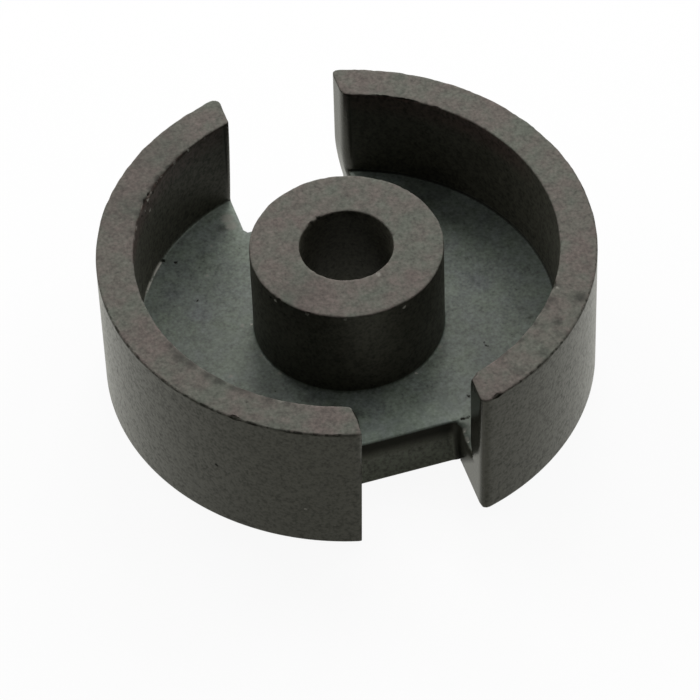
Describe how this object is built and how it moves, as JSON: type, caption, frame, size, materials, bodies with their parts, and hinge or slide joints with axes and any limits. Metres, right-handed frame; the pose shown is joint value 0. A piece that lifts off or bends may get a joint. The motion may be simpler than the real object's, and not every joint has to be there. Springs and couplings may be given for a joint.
{
  "type": "ferrite pot core half",
  "caption": "Round ferrite pot core half with a bored centre post, a ring wall and opposite lead slots cut through wall and base.",
  "frame": {"origin": "centre of the bore at the back face", "axes": "+Z along the bore from the back towards the mating face, Y through the middle of the lead slots"},
  "size_m": [0.0112, 0.0108, 0.0036],
  "materials": {
    "ferrite": "dark grey sintered ferrite, as fired, with ground mating faces"
  },
  "bodies": {
    "root": {"core_half": "ferrite"}
  },
  "joints": []
}
